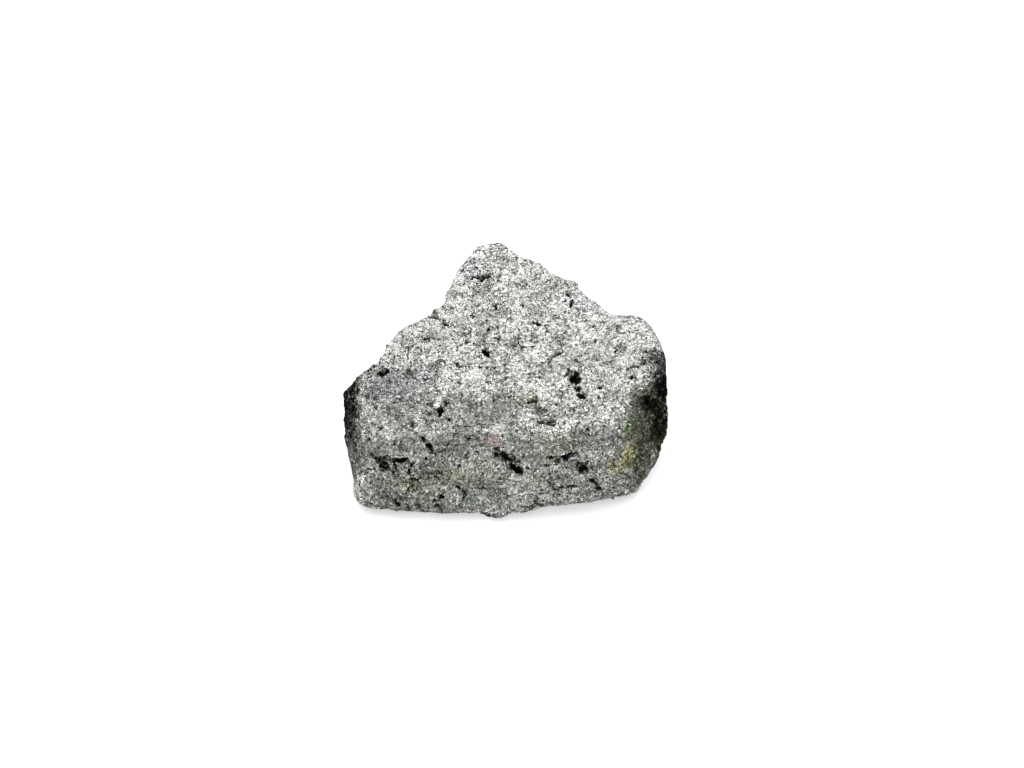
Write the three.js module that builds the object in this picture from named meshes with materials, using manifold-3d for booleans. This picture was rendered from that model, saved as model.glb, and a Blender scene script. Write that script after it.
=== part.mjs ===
// A rough lump of massive granular pyrite, about 50 mm wide, 43 mm deep and 22 mm high.
// Millimetres, +Z up, the tall broken front face towards -Y, resting on a fracture at z = 0.
// The lump is two blunt blocks grown together: a wide slab, and a peak that rises at the back.
// Its skin is lumpy, and it carries broken ledges, pits, cracks and small cubic crystals.
import * as THREE from "three";
import { ConvexHull } from "three/addons/math/ConvexHull.js";
import { ImprovedNoise } from "three/addons/math/ImprovedNoise.js";
import { mergeVertices } from "three/addons/utils/BufferGeometryUtils.js";
import Module from "manifold-3d";

// Driving sizes of the skin
const CENTRE = new THREE.Vector3(0, -1, 9); // every ray to the skin starts here
const SKIN_DETAIL = 14; // subdivisions of the icosahedron that is pushed out to the skin
const SKIN_STRETCH = new THREE.Vector3(1.3, 1.2, 1.0); // it starts as a wide ellipsoid
const SPREAD_PASSES = 120; // times the skin's points slide apart
const EDGE_ROUNDING = 0.6; // radius of the worn edges between broken faces
const FOOT = -1; // the blocks run this far below the fracture that the lump rests on
const CLEAR = 60; // well outside the lump
const BALL_KNOCKS = [0.8, 1.15]; // a pebble's or pit's corners lie this much nearer or further out
const BLOCK_KNOCKS = [0.93, 1.07]; // and so do a broken block's
const FINE_BALL = 2.5; // pebbles and pits over this many cubic mm have smaller facets

// Corners of the wide slab: x, y, z
const SLAB_CORNERS = [
  // rim of the upper face, from the left shoulder round the back to the right
  [-25.4, -2.8, 12.4], [-23.3, -2.8, 14.4], [-17.0, 4.4, 17.6], [-13.6, 6.7, 18.4], [-10.4, 9.2, 19.0],
  [17.8, 7.4, 18.5], [21.8, 6.8, 17.9], [23.9, 5.0, 16.9], [25.2, 1.7, 15.5],
  // edge between the upper face and the tall front face
  [-18.4, -14.4, 14.0], [-8.4, -15.8, 14.7], [3.5, -16.4, 15.0], [15.3, -15.6, 14.6], [21.0, -7.1, 16.2],
  // widest points of the flanks
  [25.4, -2.5, 11.0], [25.2, -6.8, 5.0], [23.6, -10.6, 2.2],
  [-26.1, -4.8, 10.0], [-25.8, -7.8, 7.0], [-25.0, -10.0, 4.0], [-24.4, -14.2, 2.2],
  // lower edge of the front
  [-23.8, -17.0, 0.8], [-21.6, -19.1, 0.8], [-13.0, -19.9, 0.8], [1.8, -20.2, 0.8], [6.4, -19.3, 0.8],
  [14.4, -16.9, 0.8], [20.0, -15.8, 0.8], [21.4, -13.7, 0.8],
  // foot, drawn in under that edge
  [-22.0, -14.4, FOOT], [-20.0, -15.8, FOOT], [-12.5, -16.9, FOOT], [2.0, -16.9, FOOT], [13.5, -14.2, FOOT],
  [19.8, -12.0, FOOT], [22.0, 3.0, FOOT], [19.0, 9.0, FOOT], [2.0, 12.0, FOOT], [-15.0, 8.0, FOOT],
  [-20.5, 1.0, FOOT],
];

// Corners of the peak that rises behind the slab
const PEAK_CORNERS = [
  // rim
  [-9.5, 11.6, 19.4], [-8.0, 16.2, 20.6], [-6.4, 19.4, 21.4], [-3.9, 21.2, 22.0], [-0.9, 21.1, 22.0],
  [5.0, 16.8, 20.9], [10.6, 13.2, 20.2], [13.3, 10.4, 19.8], [16.0, 7.4, 19.3],
  // buried front edge
  [-9.0, -13.0, 14.2], [12.0, -13.0, 14.2],
  // back wall
  [-9.6, 12.6, 6.0], [-4.8, 20.0, 9.0], [0.8, 20.2, 10.0], [11.4, 13.6, 8.0],
  // foot
  [-8.6, 13.0, FOOT], [-3.0, 18.4, FOOT], [2.6, 17.6, FOOT], [12.0, 10.6, FOOT],
  [-9.0, -12.0, FOOT], [12.0, -12.0, FOOT],
];

// Rounded swellings of the ore: how wide one is, and the height of its noise
const SWELLINGS = [
  { width: 8.5, height: 0.98 },
  { width: 4.6, height: 0.84 },
  { width: 2.8, height: 0.62 },
];
const SWELLING_SEED = 13.7;
const MEAN_SWELLING = 0.18; // the noise's middle value, at which the skin stays where it is

// Knobs that stand out of the skin: where, and their half sizes
const KNOBS = [
  { at: [-1.8, -17.8, 0.8], size: [2.8, 2.1, 1.6] }, // on the front foot
  { at: [-10.2, 7.5, 17.8], size: [1.7, 1.3, 0.9] }, // in the notch left of the peak
  { at: [4.9, 15.6, 19.5], size: [1.8, 1.2, 0.8] }, // on the right rim of the peak
  { at: [9.3, 12.7, 19.2], size: [2.0, 1.3, 0.8] },
];

// Ledges down the hidden sides, below which the wall stands further out: the height of the edge, how
// it climbs with x and y, the way that the wall faces as x and y, and how far out it steps
const LEDGES = [
  { height: 8.5, climb: [-0.1, 0.15], facing: [0.55, 0.84], step: 1.4 },
  { height: 4.2, climb: [0.1, -0.1], facing: [0.5, 0.87], step: 0.7 },
  { height: 7.0, climb: [-0.2, 0.1], facing: [-0.5, 0.87], step: 1.6 },
  { height: 12.5, climb: [0.3, 0.1], facing: [-0.5, 0.87], step: 0.9 },
  { height: 9.0, climb: [0.5, 0], facing: [0.05, 1], step: 1.2 },
];
const LEDGE_SLOPE = 0.7; // half the height over which a ledge steps out
const LEDGE_ENDS = [0.72, 0.92]; // a ledge fades where the wall turns this far away from its facing

// The left shoulder's back corner has broken off in two blocks: their middles, sizes and turns
const LOST_BLOCKS = [
  { at: [-22.5, 6.5, 17.0], size: [11, 12, 26], turn: [0.05, 0.35, -0.42] },
  { at: [-25.8, 2.1, 17.0], size: [6.4, 12, 24], turn: [0.42, 0, 0.71] },
];

// Pits seen from above: x, y, then width, length and depth
const TOP_PITS = [
  { at: [10.3, -5.9], size: [1.9, 2.6, 2.0] },
  { at: [10.8, -7.9], size: [1.0, 1.6, 1.1] },
  { at: [11.2, -9.4], size: [1.1, 1.2, 1.0] },
  { at: [-3.3, -0.3], size: [1.1, 1.5, 1.1] },
  { at: [-18.9, -3.4], size: [2.3, 1.5, 1.0] },
  { at: [-3.6, 14.1], size: [2.7, 0.9, 0.9] },
  { at: [-1.8, 8.4], size: [0.8, 0.9, 0.8] },
  { at: [-10.0, -11.5], size: [1.1, 1.6, 1.0] },
  { at: [-9.2, -9.8], size: [0.9, 1.1, 0.9] },
  { at: [3.9, -9.6], size: [1.1, 0.8, 0.9] },
  { at: [6.6, -13.6], size: [2.0, 0.8, 0.9] },
  { at: [-5.5, -10.7], size: [0.7, 0.8, 0.7] },
  { at: [-9.8, 5.5], size: [0.8, 0.9, 0.7] },
  { at: [-7.0, -6.2], size: [0.7, 0.7, 0.6] },
  { at: [9.9, 8.2], size: [1.1, 0.8, 0.8] },
  { at: [-7.9, -2.3], size: [0.8, 0.7, 0.7] },
];

// Pits seen from the front: x, z, then width, height and depth
const FRONT_PITS = [
  { at: [-18.4, 7.6], size: [2.1, 1.8, 1.8] },
  { at: [-17.0, 7.0], size: [0.8, 1.5, 1.1] },
  { at: [11.5, 7.5], size: [1.8, 1.7, 1.8] },
  { at: [13.8, 3.7], size: [1.6, 1.3, 1.3] },
  { at: [9.3, 3.3], size: [1.5, 0.8, 0.9] },
  { at: [4.6, 3.4], size: [0.9, 0.8, 0.8] },
  { at: [-14.4, 6.8], size: [0.7, 0.9, 0.8] },
  { at: [-10.4, 2.4], size: [1.1, 1.2, 1.0] },
  { at: [-4.5, 4.4], size: [0.8, 0.7, 0.7] },
];

// Cracks seen from the front: their ends as x, z, then their width and depth
const FRONT_CRACKS = [
  { from: [-20.2, 8.3], to: [-14.6, 8.8], width: 0.9, depth: 1.4 },
  { from: [-1.2, 10.9], to: [1.7, 8.0], width: 1.2, depth: 1.6 },
  { from: [-12.6, 13.0], to: [-10.6, 10.9], width: 0.7, depth: 1.1 },
  { from: [6.0, 8.9], to: [10.4, 10.5], width: 0.8, depth: 1.2 },
];
const CRACK_STEP = 1.0; // a crack is a chain of hollows, this far apart for each mm of width
const CRACK_WANDER = 0.35; // how far its hollows stray sideways, for each mm of width
const CRACK_THICKNESS = [0.5, 1.2]; // how wide a hollow is, against the crack's width
const CRACK_TURN = 0.3; // how far a hollow turns away from the crack's line

// Shallow hollows in the fracture below: x, y, then width, length and depth
const BASE_HOLLOWS = [
  { at: [-17.0, 1.0], size: [17, 12, 0.8] },
  { at: [5.0, 10.0], size: [13, 18, 0.9] },
  { at: [6.0, -6.0], size: [17, 7, 0.5] },
  { at: [21.0, -2.0], size: [9, 12, 0.7] },
];

// Small cubes of pyrite that stick out of the skin
const CRYSTALS = {
  count: 52,
  smallest: 0.8,
  largest: 1.3,
  squareness: [0.8, 1.2], // a side against the one next to it
  sunk: 0.35, // how far the middle lies under the skin, as a part of the size
  rooted: 0.35, // the least part that has to lie in the ore
};

// Repeatable random numbers from 0 to 1
function randomFrom(seed) {
  let state = seed;
  return () => {
    state = (state + 0x6d2b79f5) | 0;
    let mixed = Math.imul(state ^ (state >>> 15), 1 | state);
    mixed = (mixed + Math.imul(mixed ^ (mixed >>> 7), 61 | mixed)) ^ mixed;
    return ((mixed ^ (mixed >>> 14)) >>> 0) / 2 ** 32;
  };
}

const random = randomFrom(7);
const between = (low, high) => low + (high - low) * random();

// The planes of a block's convex hull, as distances from CENTRE
function blockPlanes(corners) {
  const hull = new ConvexHull().setFromPoints(corners.map((corner) => new THREE.Vector3(...corner)));
  return hull.faces.map(({ normal, constant }) => ({ normal, reach: constant - normal.dot(CENTRE) }));
}

const BLOCKS = [blockPlanes(SLAB_CORNERS), blockPlanes(PEAK_CORNERS)];

// How far the blocks reach from CENTRE in a direction, with their edges worn round
function blockReach(direction) {
  const grazing = 0.02; // planes that a ray hardly meets are passed over
  const reaches = BLOCKS.map((planes) => {
    let sum = 0;
    for (const { normal, reach } of planes) {
      const facing = normal.dot(direction);
      if (facing > grazing) sum += Math.exp(-reach / facing / EDGE_ROUNDING);
    }
    return -EDGE_ROUNDING * Math.log(sum);
  });
  const total = reaches.reduce((sum, reach) => sum + Math.exp(reach / EDGE_ROUNDING), 0);
  return EDGE_ROUNDING * Math.log(total);
}

const noise = new ImprovedNoise();

// How far the ore swells out at a point: round humps with creases between them
function swelling(point) {
  return SWELLINGS.reduce((sum, { width, height }, i) => {
    const { x, y, z } = point.clone().divideScalar(width).addScalar(SWELLING_SEED * (i + 1));
    return sum + height * (Math.abs(noise.noise(x, y, z)) - MEAN_SWELLING);
  }, 0);
}

// How far the ledges above a point push its wall out
function ledgeReach(point, normal) {
  const { smoothstep } = THREE.MathUtils;
  return LEDGES.reduce((out, { height, climb, facing, step }) => {
    const edge = height + climb[0] * point.x + climb[1] * point.y;
    const below = smoothstep(edge - point.z, -LEDGE_SLOPE, LEDGE_SLOPE);
    const faces = smoothstep(normal.x * facing[0] + normal.y * facing[1], ...LEDGE_ENDS);
    return out + step * below * faces;
  }, 0);
}

// Every point's neighbours, by number
function neighboursOf(geometry) {
  const index = geometry.index.array;
  const neighbours = Array.from({ length: geometry.getAttribute("position").count }, () => new Set());
  for (let i = 0; i < index.length; i += 3) {
    const [a, b, c] = index.slice(i, i + 3);
    neighbours[a].add(b).add(c);
    neighbours[b].add(c).add(a);
    neighbours[c].add(a).add(b);
  }
  return neighbours.map((set) => [...set]);
}

// The lumpy skin: an icosahedron's points go out to the blocks along their rays, slide until they are
// evenly spread, and then rise and dip along their normals
function skinGeometry() {
  const geometry = joinedCorners(new THREE.IcosahedronGeometry(1, SKIN_DETAIL));
  const position = geometry.getAttribute("position");
  const neighbours = neighboursOf(geometry);
  const ray = new THREE.Vector3();
  const placeOnBlocks = (i) => {
    ray.normalize().multiplyScalar(blockReach(ray)).add(CENTRE);
    position.setXYZ(i, ray.x, ray.y, ray.z);
  };
  for (let i = 0; i < position.count; i++) {
    ray.fromBufferAttribute(position, i).multiply(SKIN_STRETCH);
    placeOnBlocks(i);
  }
  const other = new THREE.Vector3();
  for (let pass = 0; pass < SPREAD_PASSES; pass++) {
    neighbours.forEach((around, i) => {
      ray.set(0, 0, 0);
      for (const j of around) ray.add(other.fromBufferAttribute(position, j));
      ray.divideScalar(around.length).sub(CENTRE);
      placeOnBlocks(i);
    });
  }
  geometry.computeVertexNormals();
  const normal = geometry.getAttribute("normal");
  const point = new THREE.Vector3();
  for (let i = 0; i < position.count; i++) {
    point.fromBufferAttribute(position, i);
    ray.fromBufferAttribute(normal, i);
    point.addScaledVector(ray, swelling(point) + ledgeReach(point, ray));
    position.setXYZ(i, point.x, point.y, point.z);
  }
  return geometry;
}

// A geometry with only positions, each corner stored once
function joinedCorners(geometry) {
  geometry.deleteAttribute("normal");
  geometry.deleteAttribute("uv");
  return mergeVertices(geometry, 1e-5);
}

// Moves each corner in or out by a random part of its distance from the middle
function knockCorners(geometry, least, most) {
  const position = geometry.getAttribute("position");
  const corner = new THREE.Vector3();
  for (let i = 0; i < position.count; i++) {
    corner.fromBufferAttribute(position, i).multiplyScalar(between(least, most));
    position.setXYZ(i, corner.x, corner.y, corner.z);
  }
}

// A pebble or hollow: a ball with its corners knocked in and out, by its full width, length and depth
function roughBall(width, length, depth) {
  const detail = width * length * depth > FINE_BALL ? 1 : 0;
  const ball = joinedCorners(new THREE.IcosahedronGeometry(0.5, detail));
  knockCorners(ball, ...BALL_KNOCKS);
  return ball.rotateZ(between(0, Math.PI)).scale(width, length, depth);
}

const wasm = await Module();
wasm.setup();

// A closed geometry as a solid that can be joined and cut
function solidOf(geometry) {
  const joined = joinedCorners(geometry);
  return new wasm.Manifold(new wasm.Mesh({
    numProp: 3,
    vertProperties: joined.getAttribute("position").array,
    triVerts: new Uint32Array(joined.index.array),
  }));
}

function geometryOf(solid) {
  const mesh = solid.getMesh();
  return new THREE.BufferGeometry()
    .setAttribute("position", new THREE.BufferAttribute(mesh.vertProperties, 3))
    .setIndex(new THREE.BufferAttribute(mesh.triVerts, 1));
}

const skin = new THREE.Mesh(skinGeometry());

// Where a ray that comes in from outside meets the skin
function onSkin(origin, direction) {
  return new THREE.Raycaster(origin, direction).intersectObject(skin)[0].point;
}

const down = new THREE.Vector3(0, 0, -1);
const backward = new THREE.Vector3(0, 1, 0);
const fromAbove = ([x, y]) => onSkin(new THREE.Vector3(x, y, CLEAR), down);
const fromFront = ([x, z]) => onSkin(new THREE.Vector3(x, -CLEAR, z), backward);

function knobs() {
  return KNOBS.map(({ at, size }) => roughBall(...size.map((half) => 2 * half)).translate(...at));
}

function crystals() {
  const { count, smallest, largest, squareness, sunk } = CRYSTALS;
  const position = skin.geometry.getAttribute("position");
  const normal = skin.geometry.getAttribute("normal");
  return Array.from({ length: count }, () => {
    const i = Math.floor(between(0, position.count));
    const size = smallest + (largest - smallest) * random() ** 2;
    const middle = new THREE.Vector3().fromBufferAttribute(position, i);
    middle.addScaledVector(new THREE.Vector3().fromBufferAttribute(normal, i), -sunk * size);
    return new THREE.BoxGeometry(size * between(...squareness), size, size * between(...squareness))
      .rotateX(between(0, Math.PI))
      .rotateY(between(0, Math.PI))
      .rotateZ(between(0, Math.PI))
      .translate(middle.x, middle.y, middle.z);
  });
}

function lostBlocks() {
  return LOST_BLOCKS.map(({ at, size, turn }) => {
    const block = joinedCorners(new THREE.BoxGeometry(1, 1, 1, 2, 2, 2));
    knockCorners(block, ...BLOCK_KNOCKS);
    return block.scale(...size).rotateX(turn[0]).rotateY(turn[1]).rotateZ(turn[2]).translate(...at);
  });
}

function topPits() {
  return TOP_PITS.map(({ at, size: [width, length, depth] }) => {
    const mouth = fromAbove(at);
    return roughBall(width, length, 2 * depth).translate(mouth.x, mouth.y, mouth.z);
  });
}

function frontPits() {
  return FRONT_PITS.map(({ at, size: [width, height, depth] }) => {
    const mouth = fromFront(at);
    return roughBall(width, 2 * depth, height).translate(mouth.x, mouth.y, mouth.z);
  });
}

function frontCracks() {
  return FRONT_CRACKS.flatMap(({ from, to, width, depth }) => {
    const start = new THREE.Vector2(...from);
    const run = new THREE.Vector2(...to).sub(start);
    const across = new THREE.Vector2(-run.y, run.x).normalize();
    const steps = Math.ceil(run.length() / (CRACK_STEP * width));
    return Array.from({ length: steps + 1 }, (_, i) => {
      const place = start.clone().addScaledVector(run, i / steps);
      place.addScaledVector(across, CRACK_WANDER * width * between(-1, 1));
      const mouth = fromFront([place.x, place.y]);
      const thick = width * between(...CRACK_THICKNESS);
      return roughBall(CRACK_STEP * width * 2, 2 * depth, thick)
        .rotateY(between(-CRACK_TURN, CRACK_TURN) - run.angle())
        .translate(mouth.x, mouth.y, mouth.z);
    });
  });
}

function baseHollows() {
  return BASE_HOLLOWS.map(({ at: [x, y], size: [width, length, depth] }) => {
    return roughBall(width, length, 2 * depth).translate(x, y, 0);
  });
}

const below = new THREE.BoxGeometry(2 * CLEAR, 2 * CLEAR, CLEAR).translate(0, 0, -CLEAR / 2);

let lump = solidOf(skin.geometry.clone());
for (const knob of knobs()) lump = lump.add(solidOf(knob));
for (const block of lostBlocks()) lump = lump.subtract(solidOf(block));
for (const crystal of crystals().map(solidOf)) {
  const rooted = lump.intersect(crystal).volume() > CRYSTALS.rooted * crystal.volume();
  if (rooted) lump = lump.add(crystal);
}
for (const hollow of [...topPits(), ...frontPits(), ...frontCracks(), ...baseHollows()]) {
  lump = lump.subtract(solidOf(hollow));
}
lump = lump.subtract(solidOf(below));

const pyrite = new THREE.Mesh(
  geometryOf(lump),
  new THREE.MeshStandardMaterial({ color: 0x9c9a92, roughness: 0.42, metalness: 0.9 }),
);
pyrite.name = "pyrite_lump";

// The origin is at the middle of the lump's foot
const bounds = new THREE.Box3().setFromObject(pyrite);
const middle = bounds.getCenter(new THREE.Vector3());
pyrite.position.set(-middle.x, -middle.y, -bounds.min.z);

const specimen = new THREE.Group();
specimen.add(pyrite);

export default specimen;
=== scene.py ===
"""The looks of a lump of massive, fine-grained pyrite.

A fine copy of the solid, with a mosaic of small tilted facets, is covered with half sunk grains.
"""

import math

import bpy
import numpy as np
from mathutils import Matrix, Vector, noise
from mathutils.kdtree import KDTree


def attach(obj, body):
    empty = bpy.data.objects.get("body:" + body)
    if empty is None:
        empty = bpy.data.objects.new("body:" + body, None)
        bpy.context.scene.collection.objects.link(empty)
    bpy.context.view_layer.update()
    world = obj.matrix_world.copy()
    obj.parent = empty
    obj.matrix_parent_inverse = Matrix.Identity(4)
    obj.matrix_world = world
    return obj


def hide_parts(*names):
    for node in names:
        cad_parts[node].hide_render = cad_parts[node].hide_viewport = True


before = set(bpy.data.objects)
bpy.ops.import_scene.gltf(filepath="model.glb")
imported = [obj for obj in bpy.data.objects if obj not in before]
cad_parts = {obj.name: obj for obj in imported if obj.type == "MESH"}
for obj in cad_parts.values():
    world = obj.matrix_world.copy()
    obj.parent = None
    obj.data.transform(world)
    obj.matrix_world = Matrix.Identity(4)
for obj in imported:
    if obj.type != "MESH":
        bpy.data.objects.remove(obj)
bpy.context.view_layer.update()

MM = 0.001
SEED = 20
NODE = "pyrite_lump"
BODY = "root"

# The camera looks along +Y, down onto the stone. Its lens and sensor are in mm.
CAMERA_ELEVATION = math.radians(42)
CAMERA_DISTANCE = 373 * MM
CAMERA_TARGET = Vector((0.84, -1.46, 10)) * MM
CAMERA_LENS = 85
CAMERA_SENSOR = 36
CAMERA_CLIPS = (0.01, 20)

# The room: how dim it is all round, and its broad lights: the direction of each one's middle, the
# cosines of the angles to it where it starts and where it is full, and its strength.
ROOM_DIM = 0.12
ROOM_LIGHTS = [
    ((0.0, 0.72, 0.69), 0.0, 0.75, 1.75),
    ((0.0, -0.95, 0.30), 0.45, 1.0, 1.55),
]

# A large soft lamp above the stone, and the floor.
KEY_PLACE = (-0.10, 0.22, 0.42)
KEY_SIZE = 0.5
KEY_POWER = 0.8
FLOOR_HALF = 3
FLOOR_SHADE = 0.62
FLOOR_ROUGHNESS = 0.9
FLOOR_GLOW = 0.46  # the floor gives some light of its own, which keeps the stone's shadow soft

# The stone under the grains. SHRINK is how far it lies inside the solid.
VOXEL = 0.27 * MM
WELD_DISTANCE = 0.001 * MM
STAIR_PASSES = 2
SHRINK = 0.14 * MM
RELIEF = [(2.6 * MM, 0.14 * MM), (1.2 * MM, 0.07 * MM)]  # swellings' width and height
FACET_SPACING = 0.55 * MM
FACET_TILT = 0.34
FACET_STEP = 0.05 * MM  # how far a facet stands in or out
FACET_LIMIT = 0.12 * MM
HOLLOW_PASSES = 60
FLOOR_CLEARANCE = 0.3 * MM
SCATTER_TRIES = 3  # for each square of the spacing; a point too near another is dropped

# How dark the stone is: dirt everywhere, painted shade for how far a point is into a gash, and dirt
# for how far into a joint. Hollows and pores get painted shade as well.
STONE_DIRT = 0.35
GASH_SHADE = 1.2
JOINT_DIRT = 0.6

# Pores: small dark holes all over the stone.
PORE_SPACING = 1.7 * MM
PORE_SIZES = (0.10 * MM, 0.42 * MM)
PORE_SIZE_FALL = 3.4  # a higher power leaves fewer large ones
PORE_DEPTH = 1.3  # for each mm of radius
PORE_WANDER = [(0.5 * MM, 0.9)]

# Ragged gashes round the solid's pits and cracks, and small ones between them: where each one's
# middle line starts and ends, its half width and its depth, in mm.
GASHES = [
    # the deep pit on the upper face, and the small one in front of it
    ((9.3, -6.0, 17.2), (10.5, -6.7, 17.0), 0.34, 0.7),
    ((10.5, -6.6, 17.0), (10.5, -9.2, 16.6), 0.33, 0.7),
    ((8.7, -7.2, 17.0), (9.4, -6.8, 17.0), 0.24, 0.25),
    ((10.9, -10.6, 16.0), (11.7, -11.0, 15.9), 0.38, 0.8),
    # the upper face
    ((-3.4, -1.3, 17.0), (-2.8, -2.5, 16.9), 0.37, 0.6),
    ((-3.0, -2.0, 17.0), (-2.2, -1.6, 17.0), 0.26, 0.5),
    ((-7.6, -4.0, 16.6), (-7.2, -4.7, 16.5), 0.34, 0.5),
    ((-7.1, -8.0, 16.2), (-6.9, -8.2, 16.2), 0.34, 0.6),
    ((-8.9, -11.6, 15.5), (-10.0, -13.9, 14.9), 0.32, 0.35),
    ((-10.4, -12.6, 15.3), (-9.4, -12.9, 15.2), 0.34, 0.5),
    ((3.3, -11.5, 15.6), (4.4, -11.4, 15.6), 0.34, 0.5),
    ((4.9, -15.4, 15.0), (7.1, -15.7, 14.8), 0.34, 0.6),
    ((-18.3, -4.0, 15.2), (-17.5, -5.3, 15.1), 0.26, 0.6),
    ((18.2, -5.3, 16.8), (19.9, -4.6, 16.8), 0.30, 0.4),
    # the peak
    ((-5.5, 12.1, 20.2), (-3.0, 12.6, 20.2), 0.28, 0.4),
    ((-3.9, 11.6, 20.0), (-2.6, 13.2, 20.1), 0.22, 0.3),
    ((-1.9, 6.5, 18.9), (-1.7, 6.4, 18.9), 0.34, 0.7),
    ((-5.3, 4.5, 18.7), (-5.1, 4.4, 18.7), 0.34, 0.5),
    ((-9.8, 3.4, 18.3), (-9.2, 3.1, 18.2), 0.34, 0.3),
    ((4.2, 3.4, 18.5), (5.1, 3.0, 18.4), 0.36, 0.4),
    ((10.2, 8.0, 19.3), (9.8, 6.5, 19.0), 0.24, 0.3),
    # the left of the front: a level crack over a hollow, a hooked one, a slanting one, small holes
    ((-20.2, -16.6, 8.5), (-19.3, -16.9, 8.6), 0.30, 0.8),
    ((-19.3, -16.9, 8.6), (-18.6, -17.2, 9.1), 0.38, 0.9),
    ((-18.6, -17.2, 9.1), (-17.9, -17.4, 9.6), 0.34, 0.9),
    ((-17.9, -17.4, 9.6), (-17.1, -17.6, 9.1), 0.34, 0.9),
    ((-17.1, -17.6, 9.1), (-16.5, -18.1, 7.7), 0.34, 0.9),
    ((-17.1, -17.6, 9.2), (-15.9, -17.8, 9.2), 0.30, 0.8),
    ((-15.9, -17.8, 9.2), (-14.9, -18.0, 9.5), 0.34, 0.8),
    ((-14.9, -18.0, 9.5), (-14.6, -18.1, 9.1), 0.28, 0.6),
    ((-19.4, -16.9, 8.5), (-18.9, -17.3, 7.7), 0.26, 0.5),
    ((-13.9, -18.2, 9.1), (-14.5, -18.4, 8.6), 0.26, 0.5),
    ((-14.5, -18.4, 8.6), (-14.7, -18.6, 7.9), 0.30, 0.6),
    ((-14.7, -18.6, 7.9), (-14.4, -18.8, 7.1), 0.26, 0.5),
    ((-14.3, -18.9, 6.4), (-13.3, -18.9, 6.3), 0.24, 0.4),
    ((-12.6, -16.7, 12.8), (-11.9, -17.3, 11.9), 0.18, 0.4),
    ((-11.8, -17.3, 11.9), (-10.6, -17.9, 10.5), 0.22, 0.8),
    ((-21.5, -14.6, 10.4), (-21.1, -14.9, 10.8), 0.36, 0.5),
    ((-21.9, -16.5, 5.0), (-21.5, -16.7, 4.5), 0.34, 0.5),
    ((-22.1, -17.1, 2.9), (-21.9, -17.2, 2.3), 0.32, 0.5),
    ((-16.7, -20.0, 3.2), (-16.2, -20.1, 2.2), 0.34, 0.5),
    ((-13.6, -20.6, 2.4), (-13.2, -20.6, 2.0), 0.32, 0.4),
    ((-10.9, -20.4, 3.4), (-9.5, -20.5, 4.2), 0.38, 0.6),
    ((-7.4, -19.8, 5.6), (-6.0, -20.0, 4.4), 0.30, 0.5),
    # the slanting gash in the middle, with a thin one beside it
    ((-1.6, -18.2, 12.0), (-0.2, -18.3, 10.9), 0.30, 0.9),
    ((-0.2, -18.3, 10.9), (1.0, -18.8, 9.6), 0.32, 0.9),
    ((0.9, -18.8, 9.8), (1.8, -19.0, 8.6), 0.44, 1.0),
    ((0.5, -18.4, 11.1), (2.1, -18.8, 9.5), 0.22, 0.6),
    # the right of the front: a broken row, and three holes
    ((6.3, -18.4, 10.3), (7.8, -18.4, 10.3), 0.42, 0.7),
    ((8.4, -18.2, 10.5), (9.0, -18.2, 10.2), 0.38, 0.6),
    ((9.6, -18.2, 10.9), (10.4, -18.1, 10.7), 0.34, 0.6),
    ((10.8, -18.2, 8.9), (11.6, -18.2, 7.9), 0.38, 0.8),
    ((11.3, -18.2, 8.5), (12.1, -18.2, 8.9), 0.30, 0.6),
    ((10.7, -18.2, 8.2), (11.3, -18.2, 7.6), 0.30, 0.5),
    ((12.9, -18.4, 5.6), (13.9, -18.4, 4.7), 0.40, 0.7),
    ((8.3, -19.2, 4.9), (10.1, -19.1, 5.1), 0.30, 0.5),
]
GASH_WANDER = [(0.9 * MM, 0.45), (0.45 * MM, 0.25)]
GASH_WALL = 0.45  # the share of the half width that the wall takes
GASH_REACH = 4  # how much farther a gash reaches off the surface than along it
GASH_LIMIT = 2  # in half widths, how far its edge can stray
GASH_CLEAR = 0.2  # no grain stands further into a gash than this

# Joints: fine dark lines that wander through the ore. A line is where one noise is near 0, and
# another is high.
JOINT_BENDS = [(6.0 * MM, 1)]
JOINT_HALF_WIDTH = 0.035
JOINT_PATCHES = [(4.5 * MM, 1)]
JOINT_START = 0.08
JOINT_FULL = 0.25
JOINT_DEPTH = 0.2 * MM
JOINT_CLEAR = 0.3  # no grain stands nearer to a joint's middle line than this
JOINT_SHIFT = 17.3  # sets the two noises apart

# The grains: piece name, shape, spacing, smallest and largest size in mm, how high the outer side's
# middle rises above the surface in mm, how far its flat face leans off the surface in radians, or
# None for any way round, and how far a corner strays, as a share of the size.
GRAIN_PIECES = [
    ("grains_coarse", "pyritohedron", 2.4, 0.45, 0.80, 0.05, None, 0.0),
    ("grains_broad", "cube", 0.80, 0.36, 0.80, 0.03, 0.24, 0.16),
    ("grains_plates", "cube", 0.38, 0.24, 0.46, 0.06, 0.42, 0.20),
    ("grains_fine", "octahedron", 0.24, 0.17, 0.32, 0.08, None, 0.16),
    ("grains_shards", "tetrahedron", 0.19, 0.16, 0.28, 0.09, None, 0.0),
]
PIECE_TRIANGLES = 190_000
SIZE_FALL = 1.6  # a higher power leaves fewer large grains
STRETCHES = (0.7, 1.3)  # a grain's own length along each of its axes
RISE_SHARES = (0.2, 1)  # how much of the rise a grain has
DULLER_FROM = 0.5 * MM  # grains larger than this are duller
GRAIN_FOOT_SHADE = 0.1  # how dark the painted shade is on a grain where it meets the stone
SHADE_FADE_HEIGHT = 0.5 * MM  # the painted shade falls by 1 over this height
PIT_SHADE = 0.8  # how much darker the painted shade makes it in the deepest pits

# The crystals' measures for a size of 1, and how far the pyritohedron's roofs rise above its cube.
OCTAHEDRON_HALF = 0.72
PYRITOHEDRON_WIDTH = 1.15
PYRITOHEDRON_RISE = 0.5

# Where grains are missing. Hollows count as pits from PIT_HOLLOW on. A grain keeps clear of a pit
# by a share of its size, and of a pore by shares of the pore's radius and of its own size.
PIT_HOLLOW = 0.24 * MM
PIT_MARGIN = 0.62
PIT_LINING = 0.4  # the share of the grains that stay in the pits
PORE_SHARE = 0.8
PORE_MARGIN = 0.3

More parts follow.
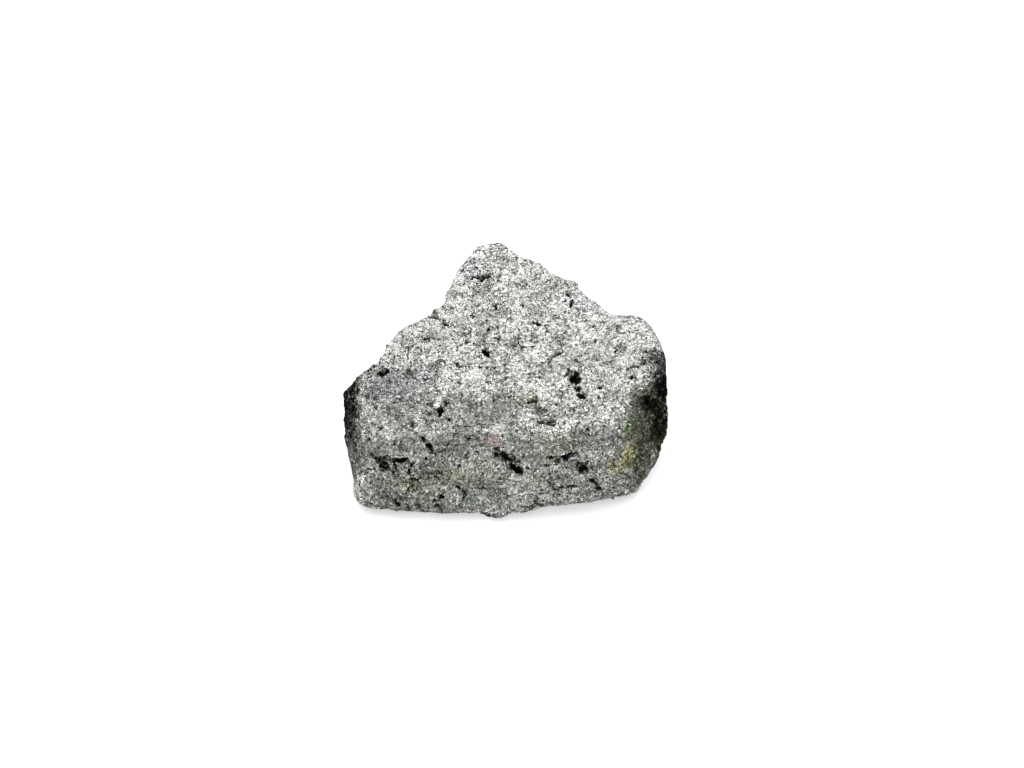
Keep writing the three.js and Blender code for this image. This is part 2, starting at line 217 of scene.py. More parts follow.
# The share of the places that have a grain: how wide its patches are, its mean, change and least.
PATCH_SIZE = 5 * MM
PATCH_SHARE = 0.85
PATCH_CHANGE = 0.9
PATCH_LEAST = 0.25

# The bake's map: the gap between the stone's six sides, and the ring in its cell that a grain's
# corners lie on, with the step in radians from one to the next.
BAKE_GAP = 1 * MM
BAKE_RING = 0.38
BAKE_STEP = 2.4

# The ore's colour by its tone, from dull to bright, the colour of its dirt and painted shade, and
# the roughness at the lowest and highest tone.
ORE_RAMP = [
    (0.12, (0.075, 0.077, 0.065)),
    (0.44, (0.97, 0.973, 0.925)),
    (0.86, (1, 1, 1)),
]
DIRT_AND_SHADE_COLOUR = (0.016, 0.016, 0.012)
ROUGHNESS = (0.18, 0.38)

# The mosaic in the ore's own surface: how wide its cells are and how far they lean, and how much a
# cell's tone weighs against its grain's; the wrinkles; and the dark specks, with the noise values
# where one starts and is full.
FINE_CELL = 0.19 * MM
FINE_TILT = 1.5
BROAD_CELL = 0.75 * MM
BROAD_TILT = 0.7
CELL_SHARE = 1.7
STRETCH = (0.5, 1.2, 1.2)  # the broad cells and the wrinkles are long from side to side
STRETCH_TURN = math.radians(18)
WRINKLE_SIZE = 1.1 * MM
WRINKLE_TWIST = 1.2
WRINKLE_HEIGHT = 0.5 * MM
SPECK_SIZE = 0.8 * MM
SPECK_EDGE = (0.65, 0.72)
NOISE_DETAIL = 3

# Tarnish, stains and painted shade: the middle of each in mm, its half widths in mm, and what it
# multiplies the ore's colour by.
FILMS_AND_SHADES = [
    # painted shade with an olive tarnish tint down the right flank, near black at its back
    ((20.5, -12.0, 9.0), (6.2, 8.0, 10.0), (0.42, 0.43, 0.36)),
    ((23.8, -8.5, 8.0), (3.2, 7.0, 9.0), (0.40, 0.41, 0.30)),
    ((25.2, -3.4, 14.1), (5.0, 6.0, 5.8), (0.05, 0.05, 0.04)),
    ((22.8, -7.5, 13.2), (3.4, 4.0, 3.8), (0.42, 0.43, 0.34)),
    ((25.0, -6.0, 11.0), (5.5, 5.5, 6.0), (0.13, 0.13, 0.10)),
    ((25.4, -8.5, 7.6), (4.6, 5.0, 5.5), (0.24, 0.24, 0.18)),
    ((25.0, -2.0, 10.0), (4.2, 9.0, 8.0), (0.60, 0.60, 0.56)),
    ((19.5, -11.0, 13.0), (4.5, 5.0, 4.5), (0.88, 0.88, 0.86)),
    ((20.0, -14.0, 4.5), (5.5, 5.0, 5.5), (0.78, 0.78, 0.76)),
    # painted shade down the left flank, near black at its top
    ((-24.5, -11.0, 7.0), (3.6, 9.0, 9.0), (0.42, 0.42, 0.41)),
    ((-25.0, -4.6, 12.2), (4.6, 6.0, 6.0), (0.05, 0.05, 0.05)),
    ((-25.0, -8.5, 10.2), (3.4, 5.5, 5.0), (0.12, 0.12, 0.12)),
    ((-25.0, -3.0, 8.0), (4.0, 9.0, 8.0), (0.55, 0.55, 0.54)),
    # painted contact shade along the foot
    ((0.0, 0.0, -0.5), (60.0, 60.0, 2.0), (0.30, 0.30, 0.27)),
    # small stains on the front: green, ochre, brown, rust, teal
    ((18.5, -13.6, 12.0), (2.5, 2.6, 2.4), (0.84, 1.02, 0.72)),
    ((18.4, -15.1, 8.0), (2.8, 2.8, 2.4), (1.20, 1.10, 0.66)),
    ((16.8, -16.7, 7.4), (2.6, 2.4, 2.4), (1.03, 1.00, 0.80)),
    ((-1.6, -17.9, 13.3), (1.7, 1.7, 1.7), (0.88, 0.76, 0.72)),
    ((-5.4, -20.4, 3.6), (2.8, 2.4, 2.4), (0.92, 0.97, 0.97)),
    ((0.5, -17.6, 14.0), (1.8, 1.8, 1.6), (0.92, 0.96, 0.90)),
    # yellowish weathering
    ((6.2, -18.0, 12.2), (4.4, 3.4, 3.4), (1.00, 1.005, 0.93)),
    ((-14.5, -19.2, 5.6), (2.4, 2.0, 1.8), (0.97, 0.98, 0.88)),
    ((-7.7, -18.9, 7.4), (4.0, 3.4, 2.4), (1.04, 1.05, 0.97)),
    ((3.8, -11.4, 15.8), (2.0, 1.6, 2.0), (0.86, 0.87, 0.78)),
    ((-22.0, -14.6, 7.5), (3.4, 3.4, 4.4), (0.90, 0.905, 0.87)),
    ((0.0, -20.0, 7.0), (30.0, 4.5, 8.0), (1.00, 1.00, 0.96)),
    # grey bloom on the upper face; painted shade on its left slope, front ridge, right end and
    # lower front
    ((-6.0, 15.0, 20.5), (4.5, 6.0, 3.0), (0.99, 0.98, 1.01)),
    ((11.8, 7.6, 19.4), (5.5, 5.0, 3.0), (0.97, 0.96, 0.99)),
    ((5.1, 1.4, 18.0), (3.0, 4.4, 2.0), (1.00, 0.99, 1.01)),
    ((-10.2, -1.4, 17.0), (3.6, 3.6, 2.0), (0.98, 0.97, 0.99)),
    ((-17.0, -8.0, 15.2), (8.0, 7.0, 3.0), (0.58, 0.577, 0.595)),
    ((-6.0, -13.0, 15.0), (18.0, 5.0, 3.5), (0.61, 0.61, 0.60)),
    ((-16.0, -19.0, 3.5), (8.0, 5.0, 5.0), (0.76, 0.76, 0.74)),
    ((17.0, -9.0, 16.0), (4.0, 6.0, 2.6), (0.84, 0.84, 0.83)),
    # the back and the hidden flanks
    ((-14.0, 14.0, 8.0), (8.0, 6.0, 5.0), (0.75, 0.74, 0.64)),
    ((12.0, 15.0, 6.0), (7.0, 5.0, 4.0), (0.62, 0.62, 0.52)),
    ((-1.0, 21.0, 13.0), (4.0, 3.0, 4.0), (0.96, 0.93, 0.78)),
]
FILM_AND_SHADE_CORE = 0.4  # a film or a patch of painted shade is full inside this share of its half widths
FILM_AND_SHADE_WANDER = [(3.2 * MM, 0.35), (1.1 * MM, 0.25), (0.4 * MM, 0.45)]  # its edge's bends

# Lighter and darker ore: how wide the patches are, and how strong.
MOTTLING = [(6.5 * MM, 0.22), (2.2 * MM, 0.26)]

# Painted shade on the walls that face backwards: how far one faces so where it starts and where
# it is full.
BACK_SHADE_FACING = (0.15, 0.50)
BACK_SHADE_TINT = (0.54, 0.54, 0.56)


def rows(values, width):
    """The values as an array of rows."""
    return np.array(values, np.float64).reshape(-1, width)


def mesh_values(collection, key, width=1, kind=np.float64):
    """One property of a mesh's vertices, edges, loops or faces, in rows where it has a width."""
    flat = np.empty(len(collection) * width, kind)
    collection.foreach_get(key, flat)
    return flat if width == 1 else flat.reshape(-1, width)


def unit(vectors):
    return vectors / np.maximum(np.linalg.norm(vectors, axis=-1, keepdims=True), 1e-12)


def tree_of(points):
    tree = KDTree(len(points))
    for index, point in enumerate(points):
        tree.insert(point, index)
    tree.balance()
    return tree


def nearest_to(points, tree):
    """The number of the tree's nearest point to each point, and how far off it is."""
    found = [tree.find(point)[1:] for point in points]
    return np.array([index for index, _ in found]), np.array([distance for _, distance in found])


def uneven(points, layers, shift=0):
    """Smooth noise at each point, summed over layers of a width and a height."""
    total = np.zeros(len(points))
    for width, height in layers:
        total += height * np.array([noise.noise(Vector(point)) for point in points / width + shift])
    return total


def joints(points):
    """How near each point is to a joint's middle line: 1 on it, and 0 beyond its sides."""
    line = np.clip(1 - np.abs(uneven(points, JOINT_BENDS)) / JOINT_HALF_WIDTH, 0, 1)
    where = uneven(points, JOINT_PATCHES, JOINT_SHIFT)
    return line * np.clip((where - JOINT_START) / (JOINT_FULL - JOINT_START), 0, 1)


def gashed(points, normals):
    """How far into a gash each point is, from 0 outside to 1 at its bottom, and its depth there."""
    wander = uneven(points, GASH_WANDER)
    inside, depths = np.zeros(len(points)), np.zeros(len(points))
    for start, end, half_width, depth in GASHES:
        start, along = np.array(start) * MM, np.subtract(end, start) * MM
        share = np.clip((points - start) @ along / (along @ along), 0, 1)
        aside = points - start - share[:, None] * along
        aside -= (1 - 1 / GASH_REACH) * np.einsum("ij,ij->i", aside, normals)[:, None] * normals
        away = np.linalg.norm(aside, axis=1) / (half_width * MM)
        own = np.clip((1 - away - wander) / GASH_WALL, 0, 1) * (away < GASH_LIMIT)
        inside = np.maximum(inside, own)
        depths = np.maximum(depths, own * depth * MM)
    return inside, depths


def new_piece(name, mesh):
    """A piece that rides on the stone's body and stands for its solid."""
    piece = bpy.data.objects.new(name, mesh)
    bpy.context.scene.collection.objects.link(piece)
    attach(piece, BODY)
    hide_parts(NODE)
    return piece


def set_number(mesh, name, values):
    """A number at every vertex, for the material to read."""
    attribute = mesh.attributes.new(name, "FLOAT", "POINT")
    attribute.data.foreach_set("value", values.astype(np.float32))


def set_colour(mesh, name, values):
    attribute = mesh.attributes.new(name, "FLOAT_COLOR", "POINT")
    opaque = np.concatenate([values, np.ones((len(values), 1))], 1)
    attribute.data.foreach_set("color", opaque.ravel().astype(np.float32))


def film_and_shade_colours(points, facing):
    """What films, mottling and painted shade (in patches and on back-facing walls) multiply the
    ore's colour by at each point.
    """
    wander = uneven(points, FILM_AND_SHADE_WANDER)
    colours = np.repeat(1 + uneven(points, MOTTLING)[:, None], 3, 1)
    # painted shade on the walls that face backwards
    start, full = BACK_SHADE_FACING
    back_shade = np.clip((facing[:, 1] - start) / (full - start), 0, 1)
    colours *= 1 - back_shade[:, None] * (1 - np.array(BACK_SHADE_TINT))
    for middle, halves, tint in FILMS_AND_SHADES:
        away = np.linalg.norm((points / MM - middle) / halves, axis=1) + wander
        cover = np.clip((1 - away) / (1 - FILM_AND_SHADE_CORE), 0, 1)
        cover = cover**2 * (3 - 2 * cover)
        colours *= 1 - cover[:, None] * (1 - np.array(tint))
    return colours


def remeshed(solid):
    """A copy of the solid's mesh as even small quads."""
    copy = bpy.data.objects.new("remesh_source", solid.data.copy())
    bpy.context.scene.collection.objects.link(copy)
    weld = copy.modifiers.new("Weld", "WELD")
    weld.merge_threshold = WELD_DISTANCE
    remesh = copy.modifiers.new("Remesh", "REMESH")
    remesh.mode = "VOXEL"
    remesh.voxel_size = VOXEL
    shown = copy.evaluated_get(bpy.context.evaluated_depsgraph_get())
    mesh = bpy.data.meshes.new_from_object(shown)
    mesh.materials.clear()
    bpy.data.objects.remove(copy)
    return mesh


def neighbour_mean(places, edges):
    """The mean place of each vertex's neighbours."""
    total = np.zeros_like(places)
    count = np.zeros(len(places))
    for here, there in (edges.T, edges.T[::-1]):
        for axis in range(3):
            total[:, axis] += np.bincount(here, places[there, axis], len(places))
        count += np.bincount(here, minlength=len(places))
    return total / count[:, None]


def smoothed(places, edges, passes):
    for _ in range(passes):
        places = 0.5 * places + 0.5 * neighbour_mean(places, edges)
    return places


def normals_of(mesh, places):
    """The vertex normals, once the mesh has these places."""
    mesh.vertices.foreach_set("co", places.ravel())
    mesh.update()
    return mesh_values(mesh.vertex_normals, "vector", 3)


def scattered(places, triangles, spacing, random):
    """Points on the surface, no two nearer than the spacing, and the triangle that each lies in."""
    a, b, c = (places[triangles[:, k]] for k in range(3))
    areas = np.linalg.norm(np.cross(b - a, c - a), axis=1) / 2
    count = int(areas.sum() / spacing**2 * SCATTER_TRIES)
    picked = random.choice(len(triangles), count, p=areas / areas.sum())
    u, v = random.random((2, count))
    over = u + v > 1
    u[over], v[over] = 1 - u[over], 1 - v[over]
    points = a[picked] + u[:, None] * (b - a)[picked] + v[:, None] * (c - a)[picked]
    tree = tree_of(points)
    free = np.ones(count, bool)
    kept = []
    for index in range(count):
        if free[index]:
            kept.append(index)
            for _, near, _ in tree.find_range(points[index], spacing):
                free[near] = False
    return points[kept], picked[kept]


def facets(places, normals, triangles, random):
    """How far out a mosaic of small tilted facets puts each vertex, and its facet's tone."""
    centres, _ = scattered(places, triangles, FACET_SPACING, random)
    tilts = random.normal(0, FACET_TILT, (len(centres), 3))
    steps = random.normal(0, FACET_STEP, len(centres))
    tones = random.random(len(centres))
    nearest, _ = nearest_to(places, tree_of(centres))
    out = np.einsum("ij,ij->i", places - centres[nearest], tilts[nearest]) + steps[nearest]
    return np.clip(out, -FACET_LIMIT, FACET_LIMIT), tones[nearest]


def pores(places, triangles, random):
    """The middles and radii of the small holes."""
    middles, _ = scattered(places, triangles, PORE_SPACING, random)
    smallest, largest = PORE_SIZES
    return middles, smallest + (largest - smallest) * random.random(len(middles)) ** PORE_SIZE_FALL


def stone():
    """The stone itself, and what the grains need of its surface."""
    random = np.random.default_rng(SEED)
    mesh = remeshed(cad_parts[NODE])
    mesh.calc_loop_triangles()
    edges = mesh_values(mesh.edges, "vertices", 2, np.int64)
    triangles = mesh_values(mesh.loop_triangles, "vertices", 3, np.int64)
    places = smoothed(mesh_values(mesh.vertices, "co", 3), edges, STAIR_PASSES)
    broad = smoothed(places, edges, HOLLOW_PASSES)
    broad_normals = normals_of(mesh, broad)
    normals = normals_of(mesh, places)
    hollow = np.einsum("ij,ij->i", broad - places, normals)
    places = places + normals * uneven(places, RELIEF)[:, None]
    normals = normals_of(mesh, places)
    middles, radii = pores(places, triangles, random)
    pore, distance = nearest_to(places, tree_of(middles))
    hole = np.clip(1 - (distance / radii[pore] + uneven(places, PORE_WANDER)) ** 2, 0, 1)
    gash, gash_depths = gashed(places, broad_normals)
    joint = joints(places)
    out, tones = facets(places, normals, triangles, random)
    out = out - SHRINK - PORE_DEPTH * radii[pore] * hole - JOINT_DEPTH * joint
    rough = places + normals * out[:, None]
    rough -= broad_normals * gash_depths[:, None]
    rough[:, 2] = np.maximum(rough[:, 2], 0)
    mesh.vertices.foreach_set("co", rough.ravel())
    mesh.update()
    mesh.shade_flat()
    depth = np.clip(hollow / (2 * PIT_HOLLOW), 0, 1)
    set_number(mesh, "tone", tones)
    # painted shade in hollows, pores and gashes, over dirt everywhere and in joints
    dirt_and_shade = STONE_DIRT + depth + hole + GASH_SHADE * gash + JOINT_DIRT * joint
    set_number(mesh, "dirt_and_shade", np.clip(dirt_and_shade, 0, 1))
    # the films' colours, with their patches of painted shade
    set_colour(mesh, "film_and_shade", film_and_shade_colours(places, broad_normals))
    bake_box(mesh, places, broad_normals)
    surface = {
        "places": places,
        "normals": normals,
        "broad_normals": broad_normals,
        "triangles": triangles,
        "depth": depth,
        "pits": tree_of(places[hollow > PIT_HOLLOW]),
        "pores": tree_of(middles),
        "pore_radii": radii,
    }
    return new_piece("stone", mesh), surface


def bake_box(mesh, places, broad_normals):
    """The bake's map: the stone seen from its six sides, one above another in pairs."""
    corners = mesh_values(mesh.loops, "vertex_index", 1, np.int64)
    sizes = mesh_values(mesh.polygons, "loop_total", 1, np.int64)
    face = np.repeat(np.arange(len(sizes)), sizes)
    facing = [np.bincount(face, broad_normals[corners, axis], len(sizes)) for axis in range(3)]
    facing = np.stack(facing, -1)
    axis = np.abs(facing).argmax(1)
    backwards = np.take_along_axis(facing, axis[:, None], 1)[:, 0] < 0
    low, high = places.min(0), places.max(0)
    wide, deep, tall = high - low
    across, along = np.array([1, 0, 0])[axis], np.array([2, 2, 1])[axis]
    floors = np.array([0, tall, 2 * tall])[axis]
    side = max(2 * max(wide, deep), deep + 2 * tall) + 4 * BAKE_GAP
    place = places[corners] - low
    u = np.take_along_axis(place, across[face][:, None], 1)[:, 0]
    v = np.take_along_axis(place, along[face][:, None], 1)[:, 0]
    u += backwards[face] * (wide + BAKE_GAP) + BAKE_GAP
    v += floors[face] + (axis[face] + 1) * BAKE_GAP
    layer = mesh.uv_layers.new(name="OFBake")
    layer.data.foreach_set("uv", (np.stack([u, v], -1) / side).ravel().astype(np.float32))


def cube_shape():
    corners = rows([(x, y, z) for x in (-1, 1) for y in (-1, 1) for z in (-1, 1)], 3) / 2
    faces = [(0, 1, 3, 2), (4, 6, 7, 5), (0, 4, 5, 1), (2, 3, 7, 6), (0, 2, 6, 4), (1, 5, 7, 3)]
    return corners, faces


def tetrahedron_shape():
    corners = rows([(1, 1, 1), (1, -1, -1), (-1, 1, -1), (-1, -1, 1)], 3) / 2
    return corners, [(0, 1, 2), (0, 3, 1), (0, 2, 3), (1, 3, 2)]


def octahedron_shape():
    corners = rows([(1, 0, 0), (-1, 0, 0), (0, 1, 0), (0, -1, 0), (0, 0, 1), (0, 0, -1)], 3)
    faces = [
        (0, 2, 4), (2, 1, 4), (1, 3, 4), (3, 0, 4),
        (2, 0, 5), (1, 2, 5), (3, 1, 5), (0, 3, 5),
    ]
    return corners * OCTAHEDRON_HALF, faces


def pyritohedron_shape():
    """Twelve five-sided faces, pyrite's own crystal form besides the cube."""
    rise = PYRITOHEDRON_RISE
    roof = 1 + rise
    lean = 1 - rise**2
    signs = [(s, t) for s in (-1, 1) for t in (-1, 1)]
    corners = [(x, y, z) for x in (-1, 1) for y in (-1, 1) for z in (-1, 1)]
    corners += [(0, s * roof, t * lean) for s, t in signs]
    corners += [(s * roof, t * lean, 0) for s, t in signs]
    corners += [(t * lean, 0, s * roof) for s, t in signs]
    corners = rows(corners, 3)
    faces = []
    for outward in (np.roll((0, s, t * rise), k) for s, t in signs for k in range(3)):
        ring = np.argsort(-(corners @ outward))[:5]
        arms = corners[ring] - corners[ring].mean(0)
        turn = np.arctan2(arms @ np.cross(unit(outward), unit(arms[0])), arms @ unit(arms[0]))
        faces.append(tuple(int(k) for k in ring[np.argsort(turn)]))
    return corners / (2 * roof) * PYRITOHEDRON_WIDTH, faces


SHAPES = {
    "tetrahedron": tetrahedron_shape,
    "cube": cube_shape,
    "octahedron": octahedron_shape,
    "pyritohedron": pyritohedron_shape,
}


def random_turns(count, random):
    """Rotation matrices of even spread, from random quaternions."""
    w, x, y, z = unit(random.normal(size=(count, 4))).T
    return np.stack([
        np.stack([1 - 2 * (y * y + z * z), 2 * (x * y - z * w), 2 * (x * z + y * w)], -1),
        np.stack([2 * (x * y + z * w), 1 - 2 * (x * x + z * z), 2 * (y * z - x * w)], -1),
        np.stack([2 * (x * z - y * w), 2 * (y * z + x * w), 1 - 2 * (x * x + y * y)], -1),
    ], 1)


def fan(faces):
    """Triangles of a shape's faces, each face a fan from its first corner."""
    triangles = [(f[0], f[k], f[k + 1]) for f in faces for k in range(1, len(f) - 1)]
    return np.array(triangles, np.int64)


def bake_cells(count, triangles):
    """A small cell of the bake's map for each grain, with its corners on a ring in it."""
    side = math.ceil(math.sqrt(count))
    cell = np.arange(count)
    origin = np.stack([cell % side, cell // side], -1) / side
    angle = triangles.ravel() * BAKE_STEP
    ring = 0.5 + BAKE_RING * np.stack([np.cos(angle), np.sin(angle)], -1)
    return origin[:, None, :] + ring[None] / side


def frames_on(outward, lean, random):
    """Rotation matrices whose third axis leans a little off each outward direction."""
    leaning = unit(outward + random.normal(0, lean, outward.shape))
    along = unit(np.cross(leaning, unit(random.normal(size=outward.shape))))
    return np.stack([along, np.cross(leaning, along), leaning], -1)


def patchiness(points, random):
    """True for the points that keep their grain: most of them, and fewer in patches."""
    share = PATCH_SHARE + uneven(points, [(PATCH_SIZE, PATCH_CHANGE)])
    return random.random(len(points)) < np.clip(share, PATCH_LEAST, 1)


def clear_of_holes(points, sizes, surface, random):
    """True for the points whose grain is clear of pores and pits, or is one that lines a pit."""
    _, to_pit = nearest_to(points, surface["pits"])
    pore, to_pore = nearest_to(points, surface["pores"])
    lining = random.random(len(points)) < PIT_LINING
    off_pores = to_pore > surface["pore_radii"][pore] * PORE_SHARE + PORE_MARGIN * sizes
    return ((to_pit > PIT_MARGIN * sizes) | lining) & off_pores


def grains(name, shape, spacing, smallest, largest, rise, lean, stray, surface, random):
    """Closed crystals of one form, half sunk in the stone's surface, in as few pieces as can be."""
    places, normals, triangles = (surface[key] for key in ("places", "normals", "triangles"))
    points, inside = scattered(places, triangles, spacing * MM, random)
    outward = unit(normals[triangles[inside]].mean(1))
    sizes = (smallest + (largest - smallest) * random.random(len(points)) ** SIZE_FALL) * MM
    kept = clear_of_holes(points, sizes, surface, random)
    kept &= points[:, 2] > np.maximum(sizes, FLOOR_CLEARANCE)
    kept &= patchiness(points, random) & (joints(points) < JOINT_CLEAR)
    facing = unit(surface["broad_normals"][triangles[inside]].mean(1))
    kept &= gashed(points, facing)[0] < GASH_CLEAR
    points, outward, sizes, facing = points[kept], outward[kept], sizes[kept], facing[kept]
    depth = surface["depth"][triangles[inside[kept]]].mean(1)
    count = len(points)
    corners, faces = SHAPES[shape]()
    corner_triangles = fan(faces)
    stretch = random.uniform(*STRETCHES, (count, 1, 3))
    form = corners[None] * stretch + stray * random.uniform(-1, 1, (count, len(corners), 3))
    turns = random_turns(count, random) if lean is None else frames_on(outward, lean, random)
    turned = np.einsum("nij,nkj->nki", turns, form) * sizes[:, None, None]
    sunk = rise * MM * random.uniform(*RISE_SHARES, count) - sizes / 2 - SHRINK
    solid = points[:, None] + outward[:, None] * sunk[:, None, None] + turned
    height = np.einsum("nkj,nj->nk", turned, outward) + sunk[:, None] + SHRINK
    tones = random.random(count) * np.minimum(DULLER_FROM / sizes, 1)
    tones = np.repeat(tones[:, None], len(corners), 1)
    # painted shade on each grain where it meets the stone, and deeper in pits
    dirt_and_shade = np.clip(GRAIN_FOOT_SHADE + PIT_SHADE * depth[:, None] - height / SHADE_FADE_HEIGHT, 0, 1)
    # the films' colours, with their patches of painted shade
    films_and_shades = np.repeat(film_and_shade_colours(points, facing)[:, None], len(corners), 1)
    parts = math.ceil(count * len(corner_triangles) / PIECE_TRIANGLES)
    pieces = []
    for part in range(parts):
        own = np.arange(count) % parts == part
        values = solid[own], tones[own], dirt_and_shade[own], films_and_shades[own]
        pieces.append(grain_piece(f"{name}_{part + 1}", corner_triangles, *values))
    return pieces


def grain_piece(name, corner_triangles, solid, tones, dirt_and_shade, films_and_shades):
    count, corner_count, _ = solid.shape
    index = corner_triangles[None] + np.arange(count)[:, None, None] * corner_count
    mesh = triangle_mesh(name, solid.reshape(-1, 3), index.reshape(-1, 3))
    set_number(mesh, "tone", tones.ravel())
    set_number(mesh, "dirt_and_shade", dirt_and_shade.ravel())
    set_colour(mesh, "film_and_shade", films_and_shades.reshape(-1, 3))
    layer = mesh.uv_layers.new(name="OFBake")
    layer.data.foreach_set("uv", bake_cells(count, corner_triangles).ravel().astype(np.float32))
    return new_piece(name, mesh)


def triangle_mesh(name, places, triangles):
    mesh = bpy.data.meshes.new(name)
    mesh.vertices.add(len(places))
    mesh.vertices.foreach_set("co", places.ravel().astype(np.float32))
    mesh.loops.add(len(triangles) * 3)
    mesh.loops.foreach_set("vertex_index", triangles.ravel().astype(np.int32))
    mesh.polygons.add(len(triangles))
    mesh.polygons.foreach_set("loop_start", np.arange(0, len(triangles) * 3, 3, dtype=np.int32))
    mesh.update(calc_edges=True)
    mesh.shade_flat()
    return mesh


def node(tree, kind, inputs, **settings):
    """A new shader node, with each input set to a value or linked to another node's output."""
    new = tree.nodes.new("ShaderNode" + kind)
    for key, value in settings.items():
        setattr(new, key, value)
    for key, value in inputs.items():
        if isinstance(value, bpy.types.NodeSocket):
            tree.links.new(value, new.inputs[key])
        else:
            new.inputs[key].default_value = value
    return new


def mosaic(tree, place, size):
    """Small flat cells in the surface, leaning each its own way: a bump's height, and a colour."""
    cells = node(tree, "TexVoronoi", {"Vector": place, "Scale": 1 / size}).outputs
    away = node(tree, "VectorMath", {0: place, 1: cells["Position"]}, operation="SUBTRACT")
    lean = node(tree, "VectorMath", {0: cells["Color"], 1: (0.5, 0.5, 0.5)}, operation="SUBTRACT")
    both = {0: away.outputs["Vector"], 1: lean.outputs["Vector"]}
    height = node(tree, "VectorMath", both, operation="DOT_PRODUCT")
    return height.outputs["Value"], cells["Color"]


def ore_colour(tree, tone, cell):
    """The clean ore's colour, by the tones of its grain and of its cell."""
    red = node(tree, "SeparateColor", {"Color": cell}).outputs["Red"]
    mixed = node(tree, "Math", {0: red, 1: CELL_SHARE, 2: tone}, operation="MULTIPLY_ADD")
    level = node(tree, "MapRange", {"Value": mixed.outputs["Value"], "From Max": 1 + CELL_SHARE})
    shade = node(tree, "ValToRGB", {"Fac": level.outputs["Result"]})
    stops = shade.color_ramp.elements
    stops[0].position, stops[1].position = ORE_RAMP[0][0], ORE_RAMP[-1][0]
    stops.new(ORE_RAMP[1][0])
    for stop, (_, colour) in zip(stops, ORE_RAMP):
        stop.color = (*colour, 1)
    return shade.outputs["Color"]


def dirtied_and_shaded(tree, colour, place, dirt_and_shade):
    """The colour with dirt and painted shade over it, where the mesh says so, and dirt in specks.
    """
    noise_inputs = {"Vector": place, "Scale": 1 / SPECK_SIZE, "Detail": NOISE_DETAIL}
    specks = node(tree, "TexNoise", noise_inputs).outputs["Fac"]
    start, full = SPECK_EDGE
    speck = node(tree, "MapRange", {"Value": specks, "From Min": start, "From Max": full})
    dark = node(tree, "Math", {0: dirt_and_shade, 1: speck.outputs["Result"]}, use_clamp=True)
    layers = {"A": colour, "B": (*DIRT_AND_SHADE_COLOUR, 1), "Factor": dark.outputs["Value"]}
    return node(tree, "Mix", layers, data_type="RGBA").outputs["Result"]


def bumps(tree, layers):
    """The normal under bumps from several heights, one on top of another."""
    normal = {}
    for height, scale in layers:
        inputs = {"Strength": 1, "Distance": scale, "Height": height, **normal}
        normal = {"Normal": node(tree, "Bump", inputs).outputs["Normal"]}
    return normal["Normal"]


def pyrite_material():
    """Bright metal with a fine mosaic of tilted cells, under films and painted shade, with dirt and
    with painted shade in its hollows.
    """
    material = bpy.data.materials.new("pyrite")
    material.use_nodes = True
    tree = material.node_tree
    shader = tree.nodes["Principled BSDF"]
    place = node(tree, "TexCoord", {}).outputs["Object"]
    tone, dirt_and_shade, film_and_shade = (
        node(tree, "Attribute", {}, attribute_name=name).outputs[output]
        for name, output in (("tone", "Fac"), ("dirt_and_shade", "Fac"), ("film_and_shade", "Color"))
    )
    turned = {"Vector": place, "Scale": STRETCH, "Rotation": (0, 0, STRETCH_TURN)}
    stretched = node(tree, "Mapping", turned).outputs["Vector"]
    fine_height, fine_colour = mosaic(tree, place, FINE_CELL)
    broad_height, _ = mosaic(tree, stretched, BROAD_CELL)
    layers = {"A": ore_colour(tree, tone, fine_colour), "B": film_and_shade, "Factor": 1}
    filmed_and_shaded = node(tree, "Mix", layers, data_type="RGBA", blend_type="MULTIPLY").outputs["Result"]
    tree.links.new(dirtied_and_shaded(tree, filmed_and_shaded, place, dirt_and_shade), shader.inputs["Base Color"])
    lowest, highest = ROUGHNESS
    rough = node(tree, "MapRange", {"Value": tone, "To Min": lowest, "To Max": highest})
    tree.links.new(rough.outputs["Result"], shader.inputs["Roughness"])
    shader.inputs["Metallic"].default_value = 1
    noise_inputs = {
        "Vector": stretched,
        "Scale": 1 / WRINKLE_SIZE,
        "Detail": NOISE_DETAIL,
        "Distortion": WRINKLE_TWIST,
    }
    wrinkles = node(tree, "TexNoise", noise_inputs).outputs["Fac"]
    heights = (wrinkles, WRINKLE_HEIGHT), (broad_height, BROAD_TILT), (fine_height, FINE_TILT)
    tree.links.new(bumps(tree, heights), shader.inputs["Normal"])
    return material


def floor_material():
    material = bpy.data.materials.new("floor")
    material.use_nodes = True
    shader = material.node_tree.nodes["Principled BSDF"]
    shader.inputs["Base Color"].default_value = (FLOOR_SHADE, FLOOR_SHADE, FLOOR_SHADE, 1)
    shader.inputs["Roughness"].default_value = FLOOR_ROUGHNESS
    shader.inputs["Emission Color"].default_value = (1, 1, 1, 1)
    shader.inputs["Emission Strength"].default_value = FLOOR_GLOW
    return material


def studio():
    """A plain pale floor, a large soft lamp above, and a dim room."""
    mesh = bpy.data.meshes.new("floor")
    signs = (-1, -1), (1, -1), (1, 1), (-1, 1)
    mesh.from_pydata([(x * FLOOR_HALF, y * FLOOR_HALF, 0) for x, y in signs], [], [(0, 1, 2, 3)])
    mesh.materials.append(floor_material())
    floor = bpy.data.objects.new("floor", mesh)
    bpy.context.scene.collection.objects.link(floor)
    floor.visible_glossy = False
    room()
    area_light("key", KEY_PLACE, KEY_SIZE, KEY_POWER)


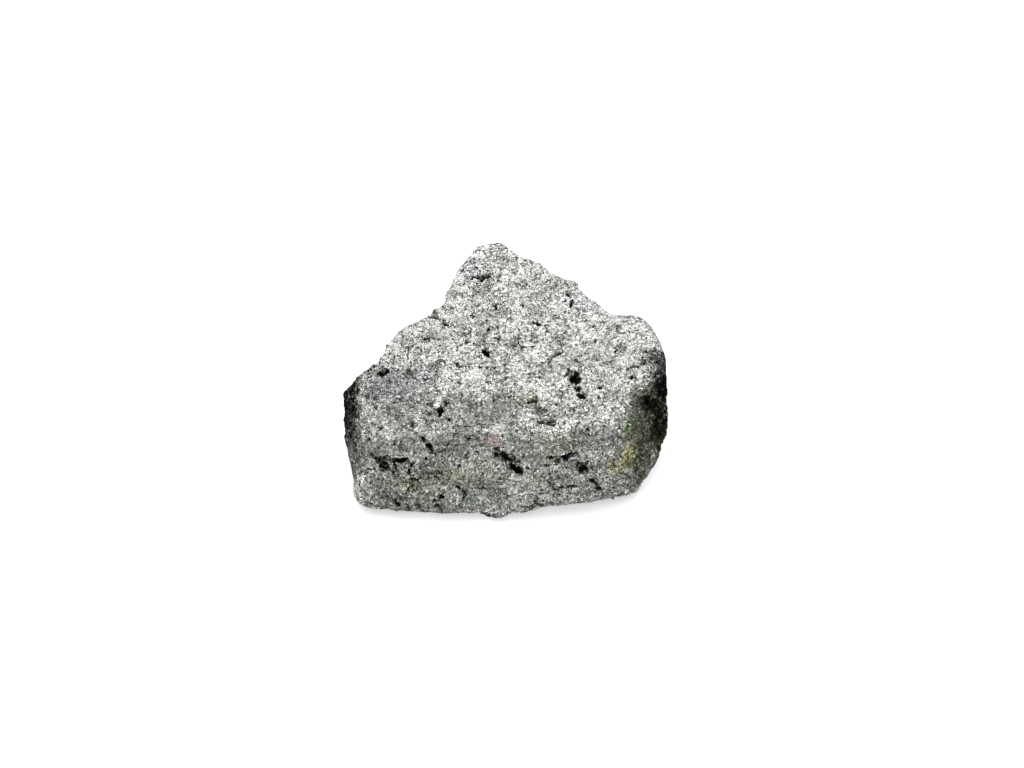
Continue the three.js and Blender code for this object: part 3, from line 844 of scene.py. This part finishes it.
def room():
    """A dim room with a broad bright side above and behind, and another in front."""
    world = bpy.data.worlds.new("room")
    bpy.context.scene.world = world
    world.use_nodes = True
    tree = world.node_tree
    direction = node(tree, "TexCoord", {}).outputs["Generated"]
    total = ROOM_DIM
    for middle, start, full, strength in ROOM_LIGHTS:
        nearness = node(tree, "VectorMath", {0: direction, 1: middle}, operation="DOT_PRODUCT")
        edge = {
            "Value": nearness.outputs["Value"],
            "From Min": start,
            "From Max": full,
            "To Max": strength,
        }
        bright = node(tree, "MapRange", edge, interpolation_type="SMOOTHSTEP")
        total = node(tree, "Math", {0: bright.outputs["Result"], 1: total}).outputs["Value"]
    background = tree.nodes["Background"]
    tree.links.new(total, background.inputs["Strength"])
    background.inputs["Color"].default_value = (1, 1, 1, 1)


def area_light(name, place, size, power):
    light = bpy.data.lights.new(name, "AREA")
    light.shape = "DISK"
    light.size = size
    light.energy = power
    lamp = bpy.data.objects.new(name, light)
    bpy.context.scene.collection.objects.link(lamp)
    lamp.location = place
    lamp.rotation_euler = (CAMERA_TARGET - Vector(place)).to_track_quat("-Z", "Y").to_euler()


def camera():
    data = bpy.data.cameras.new("camera")
    data.lens = CAMERA_LENS
    data.sensor_width = CAMERA_SENSOR
    data.clip_start, data.clip_end = CAMERA_CLIPS
    eye = bpy.data.objects.new("camera", data)
    bpy.context.scene.collection.objects.link(eye)
    away = Vector((0, -math.cos(CAMERA_ELEVATION), math.sin(CAMERA_ELEVATION)))
    eye.location = CAMERA_TARGET + away * CAMERA_DISTANCE
    eye.rotation_euler = (-away).to_track_quat("-Z", "Y").to_euler()
    bpy.context.scene.camera = eye


def main():
    camera()
    studio()
    material = pyrite_material()
    body, surface = stone()
    pieces = [body]
    random = np.random.default_rng(SEED + 1)
    for row in GRAIN_PIECES:
        pieces += grains(*row, surface, random)
    for piece in pieces:
        piece.data.materials.append(material)
        print(piece.name, len(piece.data.vertices), "vertices", len(piece.data.polygons), "faces")
    bpy.context.scene.view_settings.view_transform = "Standard"


main()
